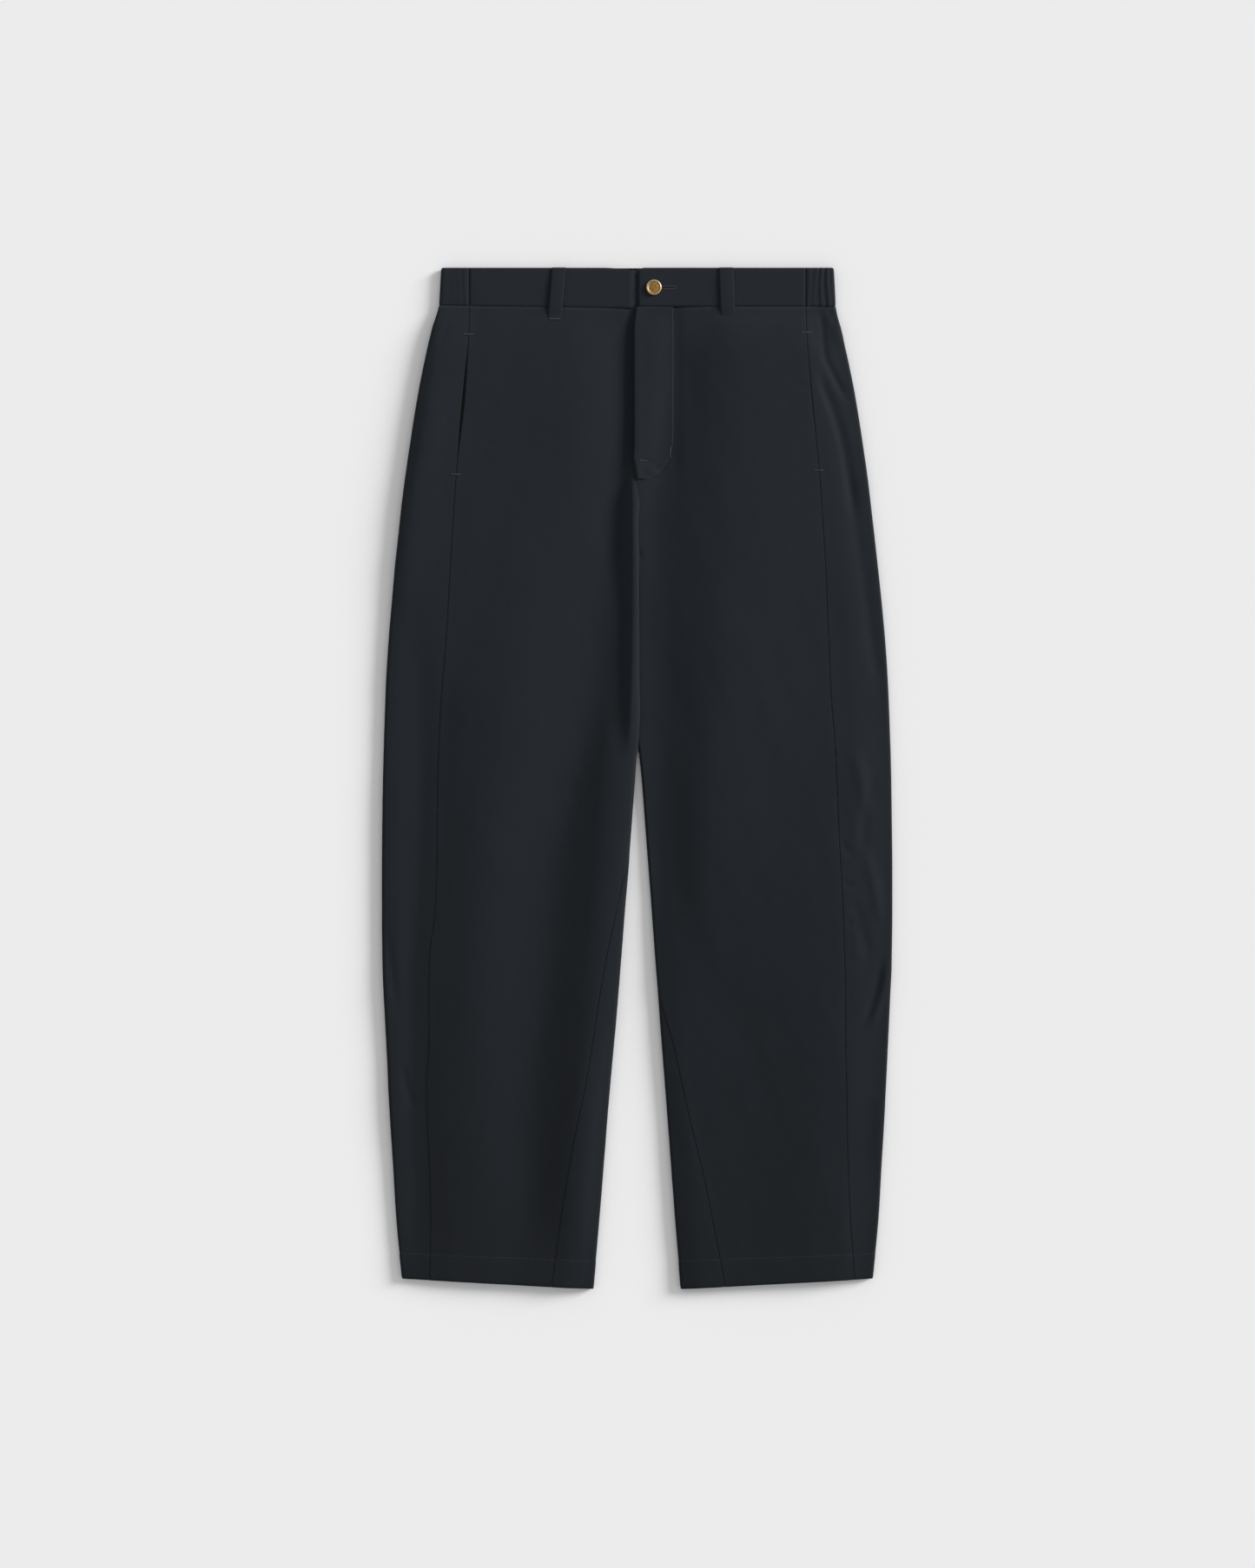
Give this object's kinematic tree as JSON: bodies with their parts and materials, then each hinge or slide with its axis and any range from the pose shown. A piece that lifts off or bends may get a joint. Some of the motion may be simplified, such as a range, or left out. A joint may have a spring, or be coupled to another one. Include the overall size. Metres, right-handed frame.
{
  "type": "barrel leg trousers",
  "caption": "Barrel leg trousers laid flat, front up, with a lapped fly, side-seam pockets, belt loops, a shank button and a waist gathered at the back.",
  "frame": {"origin": "centre of the garment's bounding box, on the surface that it lies on", "axes": "+X towards the wearer's left side, +Y up the garment to the waist, +Z out of the front face, up from the surface"},
  "size_m": [0.5112, 1.0234, 0.0098],
  "materials": {
    "twill": "matte brushed cotton twill, dark navy charcoal",
    "brass": "antique, satin, with a worn rim"
  },
  "bodies": {
    "root": {"left_front": "twill", "right_front": "twill", "left_back": "twill", "right_back": "twill", "waistband_left_front": "twill", "waistband_right_front": "twill", "waistband_back": "twill", "fly_placket": "twill", "pocket_facing_left": "twill", "pocket_facing_right": "twill", "belt_loop_left": "twill", "belt_loop_right": "twill", "button": "brass"}
  },
  "joints": []
}
